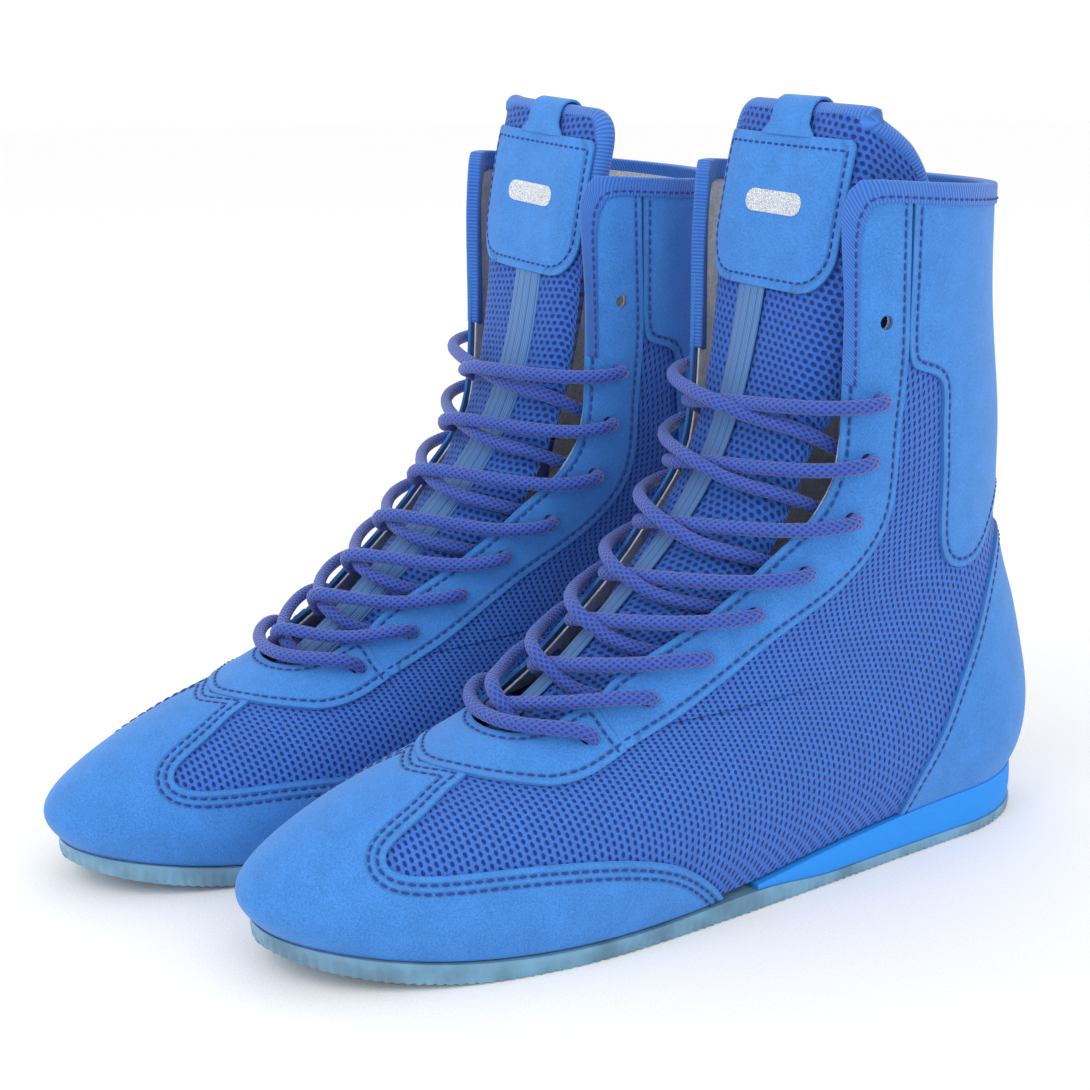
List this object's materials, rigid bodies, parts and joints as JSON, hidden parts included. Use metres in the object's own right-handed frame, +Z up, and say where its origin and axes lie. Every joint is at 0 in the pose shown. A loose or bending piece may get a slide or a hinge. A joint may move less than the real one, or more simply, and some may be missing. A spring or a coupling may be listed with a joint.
{
  "type": "pair of lace-up boxing boots",
  "caption": "Pair of high lace-up boxing boots with flat rubber soles, mesh uppers under suede overlays, a padded tongue, round laces and a bound open collar.",
  "frame": {"origin": "centre of the pair's footprint, on the ground under the soles", "axes": "+Z up, toes towards -Y, the left boot on the +X side and the right boot on the -X side"},
  "size_m": [0.1996, 0.3371, 0.2581],
  "materials": {
    "sole_rubber": "satin translucent rubber",
    "wedge_foam": "matte foam rubber",
    "board": "matte fibre board",
    "sock_foam": "matte brushed fabric over foam",
    "upper_mesh": "matte knitted air mesh",
    "upper_suede": "matte napped synthetic suede",
    "lining_felt": "matte felt",
    "stiffener_board": "matte sheet",
    "collar_foam": "open foam",
    "binding_tape": "woven twill tape",
    "tongue_mesh": "matte knitted air mesh over foam",
    "ribbon": "ribbed grosgrain",
    "lace_cord": "braided round cord",
    "aglet_film": "glossy film"
  },
  "bodies": {
    "left_boot": {"left_aglet_a": "aglet_film", "left_aglet_b": "aglet_film", "left_ankle_panel_lateral": "upper_suede", "left_ankle_panel_medial": "upper_suede", "left_collar_binding": "binding_tape", "left_collar_padding": "collar_foam", "left_facing_lateral": "upper_suede", "left_facing_medial": "upper_suede", "left_heel_counter": "upper_suede", "left_heel_stiffener": "stiffener_board", "left_lace": "lace_cord", "left_lasting_board": "board", "left_lining_lateral": "lining_felt", "left_lining_medial": "lining_felt", "left_mesh_lateral": "upper_mesh", "left_mesh_medial": "upper_mesh", "left_midsole_wedge": "wedge_foam", "left_outsole": "sole_rubber", "left_sock_liner": "sock_foam", "left_throat_eyestay": "upper_suede", "left_toe_cap": "upper_suede", "left_toe_puff": "stiffener_board"},
    "left_tongue": {"left_tongue_base": "tongue_mesh", "left_tongue_patch": "upper_suede", "left_tongue_ribbon": "ribbon", "left_tongue_binding": "binding_tape"},
    "right_boot": {"right_aglet_a": "aglet_film", "right_aglet_b": "aglet_film", "right_ankle_panel_lateral": "upper_suede", "right_ankle_panel_medial": "upper_suede", "right_collar_binding": "binding_tape", "right_collar_padding": "collar_foam", "right_facing_lateral": "upper_suede", "right_facing_medial": "upper_suede", "right_heel_counter": "upper_suede", "right_heel_stiffener": "stiffener_board", "right_lace": "lace_cord", "right_lasting_board": "board", "right_lining_lateral": "lining_felt", "right_lining_medial": "lining_felt", "right_mesh_lateral": "upper_mesh", "right_mesh_medial": "upper_mesh", "right_midsole_wedge": "wedge_foam", "right_outsole": "sole_rubber", "right_sock_liner": "sock_foam", "right_throat_eyestay": "upper_suede", "right_toe_cap": "upper_suede", "right_toe_puff": "stiffener_board"},
    "right_tongue": {"right_tongue_base": "tongue_mesh", "right_tongue_patch": "upper_suede", "right_tongue_ribbon": "ribbon", "right_tongue_binding": "binding_tape"}
  },
  "joints": [
    {"name": "right_boot_lift", "type": "slide", "parent": "left_boot", "child": "right_boot", "axis": [0, 0, 1], "range_m": [0, 0.15]},
    {"name": "left_tongue_swing", "type": "hinge", "parent": "left_boot", "child": "left_tongue", "pos_m": [0.0519, -0.0477, 0.058], "axis": [-1, 0, 0], "range_deg": [0, 2]},
    {"name": "right_tongue_swing", "type": "hinge", "parent": "right_boot", "child": "right_tongue", "pos_m": [-0.0496, -0.0786, 0.058], "axis": [-0.9996, -0.0279, 0], "range_deg": [0, 2]}
  ]
}
